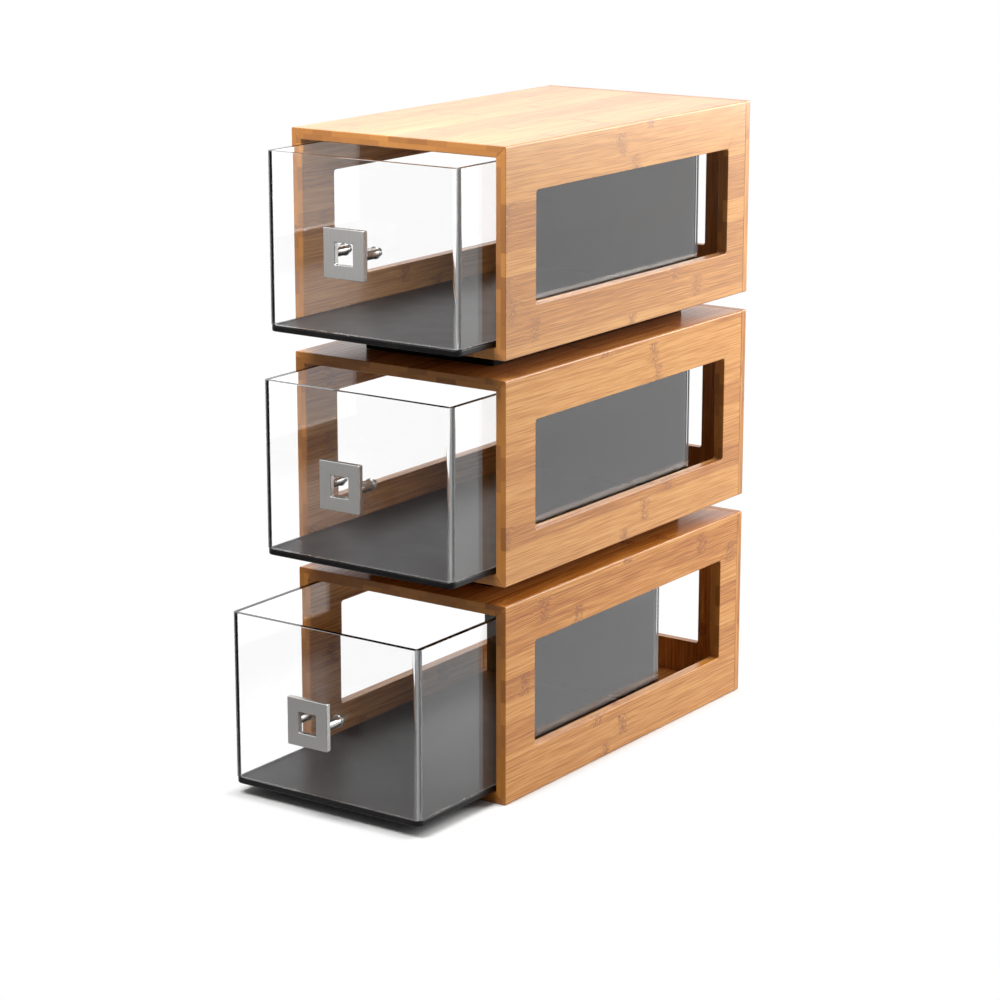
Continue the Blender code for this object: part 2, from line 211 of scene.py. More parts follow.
@dataclass(frozen=True)
class Space:
    """A piece's own axes, from the low end of its outer face: x along it, y across it and z out of it."""

    origin: np.ndarray
    axes: np.ndarray
    size: np.ndarray

    @classmethod
    def of_node(cls, node: str, along: Way, out: Way) -> Space:
        """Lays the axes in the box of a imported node.

        Args:
            node: the node's name.
            along: the direction of the piece's x.
            out: the direction that its outer face looks in.

        Returns:
            The space, with the box's length, width and thickness as its size.
        """
        low, high = corners(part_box(node))
        axes = np.array([along.vector, np.cross(out.vector, along.vector), out.vector])
        size = np.abs(axes @ (high - low))
        origin = (low + high) / 2 + out.vector * size[2] / 2 - along.vector * size[0] / 2
        return cls(origin, axes, size)

    def centred(self, far_end: bool) -> Space:
        """The same axes from the middle of the outer face, or of the far end: those of a turned piece."""
        middle = self.origin + self.axes[0] * self.size[0] / 2 - self.axes[2] * self.size[2] * far_end
        return Space(middle, self.axes, self.size)

    def world(self, points: np.ndarray) -> np.ndarray:
        """Own coordinates as places in the model's frame: the origin plus each coordinate times its axis."""
        return self.origin + points @ self.axes

    def local(self, point: Iterable[float]) -> np.ndarray:
        """A place in the model's frame as own coordinates: the same step, taken back."""
        return self.axes @ (np.array(tuple(point)) - self.origin)

    def turn(self) -> tuple[float, float, float]:
        """The axes as the angles of a Mapping node."""
        return tuple(Matrix(self.axes.T.tolist()).to_euler())


def arc_angles(start: float, end: float, steps: int) -> np.ndarray:
    """Angles along an arc, evenly spaced, from start to end in quarter turns."""
    return np.linspace(start, end, steps + 1) * QUARTER_TURN


def rim(thickness: float, ease: float, steps: int) -> tuple[np.ndarray, np.ndarray]:
    """Works out how a slab's eased rim is drawn in.

    Formula: a quarter circle at each face. At the angle a it is drawn in by the ease times (1 - sin a), and
    lies the ease times (1 - cos a) from the face.

    Args:
        thickness: the slab's thickness.
        ease: the radius of its edges.
        steps: the number of steps in each edge.

    Returns:
        How far the rim is drawn in, and its height below the outer face, from the inner face out.
    """
    angles = arc_angles(0, 1, steps)
    inset = ease * (1 - np.sin(angles))
    depth = ease * (1 - np.cos(angles))
    return np.concatenate((inset, inset[::-1])), np.concatenate((depth - thickness, -depth[::-1]))


def loops(x: Span, y: Span, radius: Reach, height: np.ndarray, steps: int) -> np.ndarray:
    """Works out a stack of rectangles with round corners.

    Formula: a quarter's centre is the rectangle's corner drawn in by the radius, and its points are that
    centre plus the radius times (cos a, sin a), with a running through the quarter.

    Args:
        x: lowest and highest x, each as one value for all the loops or a value for each.
        y: lowest and highest y, alike.
        radius: corner radius.
        height: each loop's z.
        steps: the number of steps in each corner.

    Returns:
        Points on a grid of loops by points round each loop.
    """
    low_x, high_x, low_y, high_y = (
        np.asarray(side, float)[..., None, None] for side in np.broadcast_arrays(*x, *y)
    )
    bend = np.broadcast_to(np.asarray(radius, float), np.shape(height))[:, None, None]
    quarter = np.arange(4)
    angle = quarter[:, None] * QUARTER_TURN + arc_angles(0, 1, steps)
    is_high_x = np.isin(quarter, (0, 3))[:, None]
    is_high_y = (quarter < 2)[:, None]
    across = np.where(is_high_x, high_x - bend, low_x + bend) + bend * np.cos(angle)
    along = np.where(is_high_y, high_y - bend, low_y + bend) + bend * np.sin(angle)
    rise = np.broadcast_to(np.asarray(height, float)[:, None, None], across.shape)
    return np.stack((across, along, rise), axis=-1).reshape(len(rise), -1, 3)


def slab(size: np.ndarray, ease: float, corner: float, steps: tuple[int, int], even: bool) -> np.ndarray:
    """Works out a slab with eased edges.

    Formula: a stack of rectangles with round corners, drawn in near both faces as the rim says.

    Args:
        size: its length, width and thickness.
        ease: the radius of its edges.
        corner: the radius of its corners.
        steps: the number of steps in each edge and in each corner.
        even: whether a corner's radius shrinks as the rim is drawn in.

    Returns:
        Points on a grid of loops by points round each loop.
    """
    length, width, thickness = size
    inset, height = rim(thickness, ease, steps[0])
    bend = corner - inset if even else corner
    return loops((inset, length - inset), (inset - width / 2, width / 2 - inset), bend, height, steps[1])


def turned(radius: Reach, height: Reach, steps: int, six_sided: Reach = 0.0) -> np.ndarray:
    """Works out a turned surface, which may have a hexagon socket.

    Formula: the point at the angle a is (r cos a, r sin a, height). Where a loop is six-sided, r is shortened
    as a hexagon's is: times cos 30 degrees, over the cosine of the angle from the flat's middle.

    Args:
        radius: the profile's radii.
        height: the profile's heights.
        steps: points round each loop.
        six_sided: 1 for each loop that is a hexagon, and 0 for a round one.

    Returns:
        Points on a grid of loops by points round each loop.
    """
    angle = np.linspace(0, 2 * math.pi, steps, endpoint=False)
    sixth = math.pi / 3
    hexagon = math.cos(sixth / 2) / np.cos(angle % sixth - sixth / 2)
    share = np.broadcast_to(np.asarray(six_sided, float), np.shape(radius))[:, None]
    reach = np.asarray(radius, float)[:, None] * (1 + share * (hexagon - 1))
    rise = np.broadcast_to(np.asarray(height, float)[:, None], reach.shape)
    return np.stack((reach * np.cos(angle), reach * np.sin(angle), rise), axis=-1)


@dataclass(frozen=True)
class Shading:
    """How finely faces are shaded, and how far a normal leans where a face counts as looking a way."""

    narrow: float = 2.6 * MM
    sharp: float = math.radians(32)
    end_share: float = 0.7
    front_share: float = 0.96
    foot_share: float = 0.75


SHADING = Shading()


def shade(mesh: bpy.types.Mesh, smooth: np.ndarray) -> None:
    """Makes a mesh's steep edges sharp, and shades its faces smooth where they are told to be."""
    mesh.set_sharp_from_angle(angle=SHADING.sharp)
    mesh.polygons.foreach_set("use_smooth", smooth)


def looks_along(normals: np.ndarray) -> np.ndarray:
    """Whether each face looks along the piece's own x, as the end grain of a board does."""
    return np.abs(normals[:, 0]) > SHADING.end_share


def looks_aside(normals: np.ndarray) -> np.ndarray:
    """Whether each face looks away from the piece's own z, as the edges of a plate do."""
    return np.abs(normals[:, 2]) < SHADING.front_share


def looks_down(normals: np.ndarray) -> np.ndarray:
    """Whether each face looks down, as the foot of a cemented wall does."""
    return normals[:, 2] < -SHADING.foot_share


def new_piece(name: str, points: np.ndarray, space: Space | None, materials: list[Material],
              ring: bool = False, takes_second: Callable[[np.ndarray], np.ndarray] = looks_along) -> Piece:
    """Makes a closed mesh object of a grid of points.

    Narrow faces, which make up the round edges, are shaded smooth and wide ones flat.

    Args:
        name: the piece's name.
        points: a grid of loops by points round each loop, in the space's own coordinates.
        space: the piece's axes, or None where the points are places already.
        materials: the piece's materials.
        ring: whether the last loop joins the first. If not, the first and last loops are closed by a face.
        takes_second: tells from the faces' normals which of them take the second material, if there is one.

    Returns:
        The object.
    """
    levels, around = points.shape[:2]
    index = np.arange(levels * around).reshape(levels, around)
    if ring:
        index = np.vstack((index, index[:1]))
    here, above = index[:-1], index[1:]
    quads = np.stack((here, np.roll(here, -1, 1), np.roll(above, -1, 1), above), -1).reshape(-1, 4)
    flat_points = points.reshape(-1, 3)
    first, second, third, fourth = np.moveaxis(flat_points[quads], 1, 0)
    edge_u = second - first + third - fourth
    edge_v = fourth - first + third - second
    lengths = np.minimum(np.linalg.norm(edge_u, axis=1), np.linalg.norm(edge_v, axis=1)) / 2
    normals = np.cross(edge_u, edge_v)
    normals /= np.maximum(np.linalg.norm(normals, axis=1, keepdims=True), MM ** 4)
    smooth = lengths < SHADING.narrow
    slots = takes_second(normals) & (len(materials) > 1)
    faces = quads.tolist()
    if not ring:
        faces += [index[0, ::-1].tolist(), index[-1].tolist()]
        smooth, slots = (np.append(marks, (False, False)) for marks in (smooth, slots))
    mesh = bpy.data.meshes.new(name)
    placed = space.world(flat_points) if space else flat_points
    mesh.from_pydata(placed.tolist(), [], faces)
    mesh.polygons.foreach_set("material_index", slots.astype(np.int32))
    work = bmesh.new()
    work.from_mesh(mesh)
    bmesh.ops.recalc_face_normals(work, faces=work.faces)
    work.to_mesh(mesh)
    work.free()
    for material in materials:
        mesh.materials.append(material)
    shade(mesh, smooth)
    piece = bpy.data.objects.new(name, mesh)
    bpy.context.scene.collection.objects.link(piece)
    return piece


def drill(piece: Piece, cutters: list[Piece]) -> None:
    """Takes cutters out of a piece, keeps the result as its mesh, and removes the cutters.

    Args:
        piece: the object that is drilled.
        cutters: closed objects to take out of it.
    """
    for cutter in cutters:
        cut = piece.modifiers.new(cutter.name, "BOOLEAN")
        cut.operation = "DIFFERENCE"
        cut.solver = "EXACT"
        cut.object = cutter
    bpy.context.view_layer.update()
    drilled = bpy.data.meshes.new_from_object(piece.evaluated_get(bpy.context.evaluated_depsgraph_get()))
    drilled.name = piece.name
    smooth = np.empty(len(drilled.polygons), bool)
    drilled.polygons.foreach_get("use_smooth", smooth)
    shade(drilled, smooth)
    piece.modifiers.clear()
    piece.data = drilled
    for cutter in cutters:
        bpy.data.objects.remove(cutter)


@dataclass(frozen=True)
class Bamboo:
    """Pressed bamboo board, planed, sanded and lacquered.

    Two plies of flat strips are glued side by side, with all their grain one way. The eye gets long fibre
    streaks, a knuckle across a strip now and then, where the culm had a joint, and a thin satin lacquer that
    turns pale at a low angle. Cut across, the strips show as two staggered rows of darker blocks. Sizes are
    in millimetres, and those of fibre, fine and speck are a streak's length and width.
    """

    strip_width: float = 20.0
    ply: float = 5.0
    seed_shift: float = 0.37
    strip_shift: float = 60.0
    strip_contrast: float = 0.15
    knuckle_spacing: float = 260.0
    knuckle_reach: float = 10.0
    knuckle_core: float = 2.0
    knuckle_bend: float = 16.0
    wobble: float = 0.13
    ripple_reach: float = 26.0
    ripple: float = 9.0
    fibre: tuple[float, float] = (62.0, 1.05)
    fine: tuple[float, float] = (30.0, 0.5)
    fine_share: float = 0.35
    speck: tuple[float, float] = (20 / 9, 5 / 3)
    speck_tones: tuple[float, float] = (0.4, 0.62)
    pore: float = 0.55
    block_contrast: float = 0.62
    joint_share: float = 0.014
    joint_depth: float = 0.4
    end_joint_depth: float = 0.35
    # Painted light: colours are lifted towards a pale tone, more on the higher tiers, which get more light.
    painted_paleness: float = 0.0
    painted_pale_colour: str = "eccba6"
    tones: tuple[float, ...] = (0.44, 0.57, 0.73)
    colours: tuple[str, ...] = ("e4a65c", "cd8639", "a35c1f")
    knuckle: str = "96562a"
    joint: str = "a5662f"
    end_tones: tuple[float, ...] = (0.1, 0.9)
    end_colours: tuple[str, ...] = ("c07e36", "8a511e")
    # Painted light: the share of that lift on the end grain.
    end_painted_share: float = 0.4
    roughness: float = 0.23
    spread: tuple[float, float] = (-0.05, 0.07)
    end_spread: float = 0.12
    grain_height: float = 0.05
    relief: float = 0.35

    def with_painted_light(self, hex_colour: str, share: float = 1.0) -> tuple[float, ...]:
        """A colour in linear light, mixed towards a pale tone by a share of the tier's paleness, which is
        painted light.
        """
        light = np.array(linear(hex_colour))
        return tuple(light + share * self.painted_paleness * (np.array(linear(self.painted_pale_colour)) - light))

    def material(self, name: str, space: Space, cut: Cut, seed: int) -> Material:
        """Makes the finish of one board's faces that were cut one way.

        Args:
            name: the board's name.
            space: the board's axes, with x along the grain and z out of its outer face.
            cut: which faces.
            seed: a number that tells this board's pattern from the others'.

        Returns:
            The material.
        """
        material, graph, shader = new_material(f"lacquered_bamboo_{cut.value}_{name}")
        add = graph.add
        own = add(
            "Mapping", Vector=add("TexCoord", out="Object"), Location=tuple(space.origin),
            Rotation=space.turn(), Scale=(MM, MM, MM), vector_type="TEXTURE",
        )
        place = add("SeparateXYZ", own).node.outputs
        inner_ply = add("Math", place["Z"], -self.ply, operation="LESS_THAN")
        stagger = add("Math", inner_ply, 0.5, seed * self.seed_shift, operation="MULTIPLY_ADD")
        strip = add("Math", place["Y"], 1 / self.strip_width, stagger, operation="MULTIPLY_ADD")
        strip_number = add("Math", strip, operation="FLOOR")
        chance_place = add("CombineXYZ", strip_number, inner_ply, float(seed))
        chance = add("TexWhiteNoise", Vector=chance_place, noise_dimensions="3D")
        joint = add(
            "MapRange", Value=add("Math", strip, 0.5, operation="PINGPONG"), From_Max=self.joint_share,
            To_Min=1.0, To_Max=0.0,
        )
        draw = self._long_grain if cut is Cut.LONG else self._end_grain
        colour, shine, height = draw(graph, place, chance, joint)
        bump = add("Bump", Strength=self.relief, Distance=self.grain_height * MM, Height=height)
        graph.feed(shader, Base_Color=colour, Roughness=shine, Normal=bump)
        return material

    def _long_grain(self, graph: Graph, place: Sockets, chance: Socket, joint: Socket) -> Sockets:
        """Draws the fibres, knuckles and strip joints of faces that run with the grain.

        Args:
            graph: the material's graph.
            place: the board's own coordinates, in millimetres.
            chance: a random number for each strip.
            joint: 1 on a joint between two strips and 0 beside it.

        Returns:
            The colour, roughness and height outputs.
        """
        add = graph.add
        along, across, depth = place
        shift = add("Math", chance, self.strip_shift, depth, operation="MULTIPLY_ADD")
        wobble_place = add("CombineXYZ", along, across, shift)
        wobble = add("TexNoise", Vector=wobble_place, Scale=self.wobble, Detail=1.0)
        bent = add("Math", wobble, self.knuckle_bend, along, operation="MULTIPLY_ADD")
        culm = add("Math", bent, 1 / self.knuckle_spacing, chance, operation="MULTIPLY_ADD")
        near = add("Math", culm, 0.5, operation="PINGPONG")
        off_knuckle = add("Math", near, self.knuckle_spacing, operation="MULTIPLY")
        rippled = add(
            "MapRange", Value=off_knuckle, From_Min=self.ripple_reach, From_Max=0.0, To_Max=self.ripple,
            interpolation_type="SMOOTHSTEP",
        )
        swing = add("Math", wobble, -0.5, operation="ADD")
        swung = add("Math", swing, rippled, across, operation="MULTIPLY_ADD")
        spot = add("CombineXYZ", along, swung, shift)
        fibre, fine, speck = (
            add(
                "TexNoise", add("VectorMath", spot, (1 / length, 1 / width, 1.0), operation="MULTIPLY"),
                Scale=1.0, Detail=detail, Roughness=rough,
            )
            for (length, width), detail, rough in (
                (self.fibre, 2.0, 0.55), (self.fine, 2.0, 0.5), (self.speck, 3.0, 0.7),
            )
        )
        blended = add("Mix", self.fine_share, A=fibre, B=fine)
        tone = add("Math", chance, self.strip_contrast, blended, operation="MULTIPLY_ADD")
        colour = add("ValToRGB", tone)
        stops = colour.node.color_ramp.elements
        stops.new(self.tones[1])
        for stop, position, shade_of in zip(stops, self.tones, self.colours):
            stop.position = position
            stop.color = self.with_painted_light(shade_of)
        mark = add(
            "MapRange", Value=off_knuckle, From_Min=self.knuckle_reach, From_Max=self.knuckle_core,
            interpolation_type="SMOOTHSTEP",
        )
        speckled = add("MapRange", Value=speck, From_Min=self.speck_tones[0], From_Max=self.speck_tones[1])
        knuckled = add("Math", mark, speckled, operation="MULTIPLY")
        faint = add("Math", joint, self.joint_depth, operation="MULTIPLY")
        for share, drawn in ((knuckled, self.knuckle), (faint, self.joint)):
            colour = add(
                "Mix", share, at={COLOUR_A: colour, COLOUR_B: self.with_painted_light(drawn)}, out=MIXED, data_type="RGBA",
            )
        low, high = (self.roughness + step for step in self.spread)
        shine = add("MapRange", Value=blended, To_Min=low, To_Max=high)
        return colour, shine, blended

    def _end_grain(self, graph: Graph, place: Sockets, chance: Socket, joint: Socket) -> Sockets:
        """Draws the blocks and pores of faces that cut across the grain.

        Args:
            graph: the material's graph.
            place: the board's own coordinates, in millimetres.
            chance: a random number for each strip.
            joint: 1 on a joint between two strips and 0 beside it.

        Returns:
            The colour, roughness and height outputs.
        """
        add = graph.add
        along, across, depth = place
        spot = add("CombineXYZ", along, across, depth)
        pores = add("TexNoise", Vector=spot, Scale=1 / self.pore, Detail=2.0, Roughness=0.6)
        colour = add("ValToRGB", add("Mix", self.block_contrast, A=pores, B=chance))
        stops = colour.node.color_ramp.elements
        for stop, position, shade_of in zip(stops, self.end_tones, self.end_colours):
            stop.position = position
            stop.color = self.with_painted_light(shade_of, self.end_painted_share)
        off_ply = add("Math", depth, self.ply, operation="ADD")
        ply_joint = add(
            "MapRange", Value=add("Math", off_ply, operation="ABSOLUTE"),
            From_Max=self.joint_share * self.strip_width, To_Min=1.0, To_Max=0.0,
        )
        glue = add("Math", joint, ply_joint, operation="MAXIMUM")
        faint = add("Math", glue, self.end_joint_depth, operation="MULTIPLY")
        dark = linear(self.end_colours[1])
        with_joint = add("Mix", faint, at={COLOUR_A: colour, COLOUR_B: dark}, out=MIXED, data_type="RGBA")
        shine = add("MapRange", Value=pores, To_Min=self.roughness, To_Max=self.roughness + self.end_spread)
        return with_joint, shine, pores


@dataclass(frozen=True)
class ClearAcrylic:
    """Cast acrylic sheet, heat-bent, with flame-polished edges.

    It is as smooth as glass, bends light a little less, and shows bright and dark lines where it is seen edge
    on. A faint white diffuse share along each bend is a painted highlight, so a corner shows as a grey line.
    """

    tint: str = "ffffff"
    passed: str = "fbfbfb"
    ior: float = 1.49
    waviness: float = 0.002
    wave: float = 16.0
    bend_highlight: float = 0.3
    bend_highlight_from: float = 0.1
    bend_highlight_to: float = 0.6
    bend_highlight_colour: str = "f4f5f6"

    def material(self) -> Material:
        """Makes the finish: clear, with cast sheet's faint waviness, and no shadow, as light passes through.

        Returns:
            The material.
        """
        material, graph, shader = new_material(
            "clear_cast_acrylic", Base_Color=linear(self.tint), IOR=self.ior, Transmission_Weight=1.0,
            Roughness=0.0,
        )
        add = graph.add
        wave = add("TexNoise", Vector=add("TexCoord", out="Object"), Scale=self.wave, Detail=0.0)
        bump = add("Bump", Strength=self.waviness, Distance=MM, Height=wave)
        graph.feed(shader, Normal=bump)
        # Painted highlight: where the normal leans from both X and Y, at the bends, a white diffuse share is
        # mixed in.
        normal = add("SeparateXYZ", add("TexCoord", out="Normal")).node.outputs
        aside, ahead = (add("Math", normal[axis], operation="ABSOLUTE") for axis in "XY")
        bent = add("Math", aside, ahead, operation="MINIMUM")
        painted_bend_highlight = add("MapRange", Value=bent, From_Min=self.bend_highlight_from, From_Max=self.bend_highlight_to, To_Max=self.bend_highlight)
        white = add("BsdfDiffuse", Color=linear(self.bend_highlight_colour))
        with_bend_highlight = add("MixShader", painted_bend_highlight, shader.outputs[0], white)
        path = add("LightPath").node.outputs
        lit_through = add("Math", path["Is Shadow Ray"], path["Is Diffuse Ray"], operation="MAXIMUM")
        straight = add("BsdfTransparent", Color=linear(self.passed))
        surface = add("MixShader", lit_through, with_bend_highlight, straight)
        graph.feed(material.node_tree.nodes["Material Output"], Surface=surface)
        return material


@dataclass(frozen=True)
class BlackPlastic:
    """Moulded black plastic with a fine spark texture.

    It is a deep black with a soft grey sheen, and its grain breaks the highlights up a little.
    """

    name: str
    colour: str = "0d0b0c"
    worn: str = "191718"
    ior: float = 1.5
    gloss: float = 0.26
    roughness: float = 0.38
    spread: tuple[float, float] = (-0.06, 0.08)
    grain: float = 0.9
    grain_height: float = 0.01
    relief: float = 0.05
    wear: float = 35.0
    wear_tones: tuple[float, float] = (0.45, 0.8)

    def material(self) -> Material:
        """Makes the finish.

        Returns:
            The material.
        """
        material, graph, shader = new_material(self.name, IOR=self.ior, Specular_IOR_Level=self.gloss)
        add = graph.add
        place = add("TexCoord", out="Object")
        grain = add("TexNoise", Vector=place, Scale=1 / (self.grain * MM), Detail=2.0)
        broad = add("TexNoise", Vector=place, Scale=self.wear, Detail=3.0)
        worn = add("MapRange", Value=broad, From_Min=self.wear_tones[0], From_Max=self.wear_tones[1])
        colour = add(
            "Mix", worn, at={COLOUR_A: linear(self.colour), COLOUR_B: linear(self.worn)}, out=MIXED,
            data_type="RGBA",
        )
        low, high = (self.roughness + step for step in self.spread)
        shine = add("MapRange", Value=broad, To_Min=low, To_Max=high)
        bump = add("Bump", Strength=self.relief, Distance=self.grain_height * MM, Height=grain)
        graph.feed(shader, Base_Color=colour, Roughness=shine, Normal=bump)
        return material


@dataclass(frozen=True)
class BlackAcrylic:
    """Cast black acrylic sheet.

    It is a glossy black that mirrors the room softly, with faint wiping marks in its gloss.
    """

    colour: str = "0c0a0b"
    ior: float = 1.49
    roughness: float = 0.1
    spread: tuple[float, float] = (-0.04, 0.06)
    smear: float = 30.0

    def material(self) -> Material:
        """Makes the finish.

        Returns:
            The material.
        """
        base = linear(self.colour)
        material, graph, shader = new_material("black_cast_acrylic", Base_Color=base, IOR=self.ior)
        place = graph.add("TexCoord", out="Object")
        smear = graph.add("TexNoise", Vector=place, Scale=self.smear, Detail=3.0)
        low, high = (self.roughness + step for step in self.spread)
        shine = graph.add("MapRange", Value=smear, To_Min=low, To_Max=high)
        graph.feed(shader, Roughness=shine)
        return material


class Lay(Enum):
    """The direction that steel was brushed in, as its pattern's scale on X, Y and Z: small along a line."""

    UPRIGHT = (1.0, 1.0, 0.03)
    NONE = (1.0, 1.0, 1.0)


@dataclass(frozen=True)
class Steel:
    """Stainless steel, brushed, polished or turned.

    Brushing leaves fine parallel lines that spread a highlight sideways, drawn as coarse as they need to be
    to show. Polished and turned steel mirrors the room, with faint rubbing marks. Line and scratch are in
    millimetres.
    """

    name: str
    colour: str
    roughness: float
    spread: float
    lay: Lay = Lay.NONE
    line: float = 0.5
    scratch: float = 0.02
    groove: float = 0.76
    relief: float = 0.1

    def material(self) -> Material:
        """Makes the finish.

        Returns:
            The material.
        """
        material, graph, shader = new_material(self.name, Metallic=1.0)
        add = graph.add
        place = add("Mapping", Vector=add("TexCoord", out="Object"), Scale=self.lay.value)
        lines = add("TexNoise", Vector=place, Scale=1 / (self.line * MM), Detail=3.0, Roughness=0.6)
        low = self.roughness - self.spread
        shine = add("MapRange", Value=lines, To_Min=low, To_Max=self.roughness + self.spread)
        bright = linear(self.colour)
        dim = (*(self.groove * share for share in bright[:3]), 1.0)
        colour = add("Mix", lines, at={COLOUR_A: bright, COLOUR_B: dim}, out=MIXED, data_type="RGBA")
        bump = add("Bump", Strength=self.relief, Distance=self.scratch * MM, Height=lines)
        graph.feed(shader, Base_Color=colour, Roughness=shine, Normal=bump)
        return material


@dataclass(frozen=True)
class Finishes:
    """The finishes of all the pieces, made once."""

    bamboo: dict[Tier, Bamboo]
    clear: Material
    black_acrylic: Material
    base: Material
    spacer: Material
    brushed: Material
    plate_edge: Material
    polished: Material
    screw: Material

    @classmethod
    def make(cls) -> Finishes:
        """Makes each finish."""
        matt = BlackPlastic("moulded_black_plastic_spacer", "070606", "0d0c0c", gloss=0.1, roughness=0.6)
        return cls(
            # Painted light: lit copies of one bamboo, paler on the higher tiers, which get more light.
            bamboo={tier: Bamboo(painted_paleness=share) for tier, share in zip(Tier, (0.0, 0.08, 0.2))},
            clear=ClearAcrylic().material(),
            black_acrylic=BlackAcrylic().material(),
            base=BlackPlastic("moulded_black_plastic_base").material(),
            spacer=matt.material(),
            brushed=Steel("brushed_stainless_steel", "e6e3e0", 0.5, 0.08, Lay.UPRIGHT).material(),
            plate_edge=Steel("buffed_plate_edge_steel", "d8d7d5", 0.2, 0.05).material(),
            polished=Steel("polished_stainless_steel", "cdcdcb", 0.12, 0.04).material(),
            screw=Steel("turned_screw_steel", "a6a6a3", 0.28, 0.06).material(),
        )


@dataclass
class Assembly:
    """A sub-assembly of one tier, with its pieces' finishes. MOVES says whether it rides on the drawer."""

    tier: Tier
    finishes: Finishes
    MOVES = False

    def own(self, name: str) -> str:
        """A name with the tier's in front."""
        return f"{self.tier.value}_{name}"

    def settle(self, piece: Piece, node: str, slot: str) -> Piece:
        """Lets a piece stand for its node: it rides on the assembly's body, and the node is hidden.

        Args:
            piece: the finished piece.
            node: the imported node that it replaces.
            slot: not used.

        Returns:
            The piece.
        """
        body = self.own("drawer") if self.MOVES else "case"
        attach(piece, body)
        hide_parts(node)
        LOG.info("%s: %d faces, on %s, for %s", piece.name, len(piece.data.polygons), body, node)
        return piece


@dataclass
class Case(Assembly):
    """One tier's bamboo box: four mitred boards and a back panel, with windows in its sides and back."""

    long_edge: float = 1.5 * MM
    front_ease: float = 0.8 * MM
    back_ease: float = 0.6 * MM
    arris: float = 0.1 * MM
    front_stile: float = 44.5 * MM
    rear_stile: float = 38.0 * MM
    bottom_rail: float = 41.0 * MM
    top_rail: float = 40.5 * MM
    back_stile: float = 41.5 * MM
    window_corner: float = 2.6 * MM
    window_ease: float = 0.5 * MM
    edge_steps: int = 5
    corner_steps: int = 8

    def __post_init__(self) -> None:
        """Reads the case's place from its back panel, which is as wide and high as the case."""
        self.low, self.high = corners(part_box(self.own("back_panel")))
        self.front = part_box(self.own("top_panel"))[0].y

    def build(self) -> list[Piece]:
        """Builds the five boards."""
        boards = (("top", Way.UP), ("right", Way.RIGHT), ("bottom", Way.DOWN), ("left", Way.LEFT))
        return [*(self._tube_board(side, out) for side, out in boards), self._back_board()]

    def _board(self, side: str, points: np.ndarray, space: Space, ring: bool) -> Piece:
        """Makes a board with its two finishes, long grain and end grain.

        Args:
            side: which side of the case.
            points: the board's grid of points.
            space: the board's axes.
            ring: whether the last loop of points joins the first.

        Returns:
            The piece.
        """
        name = self.own(f"{side}_board")
        seed = sum(map(ord, name)) % SEEDS
        bamboo = self.finishes.bamboo[self.tier]
        return new_piece(name, points, space, [bamboo.material(name, space, cut, seed) for cut in Cut], ring)

    def _tube_board(self, side: str, out: Way) -> Piece:
        """Builds one mitred board of the tube.

        Formula: the board is a stack of rectangles through its thickness. Across, each reaches as far as the
        45 degree mitre does at its height, or near the outer face as far as the tube's rounded long edge.
        Along the grain it starts at the front face, drawn in by that face's eased edges.

        Args:
            side: which side of the tube, as the node's name says it.
            out: the direction that the board's outer face looks in.

        Returns:
            The piece.
        """
        node = self.own(f"{side}_panel")
        space = Space.of_node(node, Way.REAR, out)
        length, width, thickness = space.size
        ease_in, ease_height = rim(thickness, self.front_ease, self.edge_steps)
        edge_height = self.long_edge * (np.cos(arc_angles(0, 0.5, self.edge_steps)) - 1)
        height = np.unique(np.round(np.concatenate((ease_height, edge_height)), 9))
        reach = width / 2 + self.long_edge * CORNER_SPLIT
        on_arc = np.sqrt(np.maximum(self.long_edge ** 2 - (height + self.long_edge) ** 2, 0))
        is_arc = height > -self.long_edge * CORNER_SPLIT
        half = np.where(is_arc, reach - self.long_edge + on_arc, reach + height)
        start = np.interp(height, ease_height, ease_in)
        points = loops((start, length), (-half, half), self.arris, height, self.corner_steps)
        has_window = out in (Way.LEFT, Way.RIGHT)
        if has_window:
            window = self._window(
                space, (0, self.front + self.front_stile), (0, self.high[1] - self.rear_stile),
            )
            points = np.concatenate((points, window))
        piece = self._board(side, points, space, has_window)
        if side == "bottom" and self.tier is not Tier.LOWER:
            drill(piece, Spacer(self.tier, self.finishes).holes())
        return self.settle(piece, node, "bamboo")

    def _back_board(self) -> Piece:
        """Builds the back panel, a slab with its grain upright and a window.

        Returns:
            The piece.
        """
        node = self.own("back_panel")
        space = Space.of_node(node, Way.UP, Way.REAR)
        steps = (self.edge_steps, self.corner_steps)
        outer = slab(space.size, self.back_ease, self.long_edge, steps, even=False)
        window = self._window(space, (self.low[0] + self.back_stile, 0), (self.high[0] - self.back_stile, 0))
        return self.settle(self._board("back", np.concatenate((outer, window)), space, True), node, "bamboo")

    def _window(self, space: Space, first: tuple[float, float], last: tuple[float, float]) -> np.ndarray:
        """Works out a window's edge, from the outer face in: a round-cornered hole that widens at both faces.

        Args:
            space: the board's axes.
            first: x and y of a lower corner of the window, in the model's frame.
            last: x and y of the upper corner opposite.

        Returns:
            The loops.
        """
        inset, height = rim(space.size[2], self.window_ease, self.edge_steps)
        lower = space.local((*first, self.low[2] + self.bottom_rail))
        upper = space.local((*last, self.high[2] - self.top_rail))
        x, y = ((min(ends) - inset, max(ends) + inset) for ends in zip(lower[:2], upper[:2]))
        return loops(x, y, self.window_corner + inset, height, self.corner_steps)[::-1]


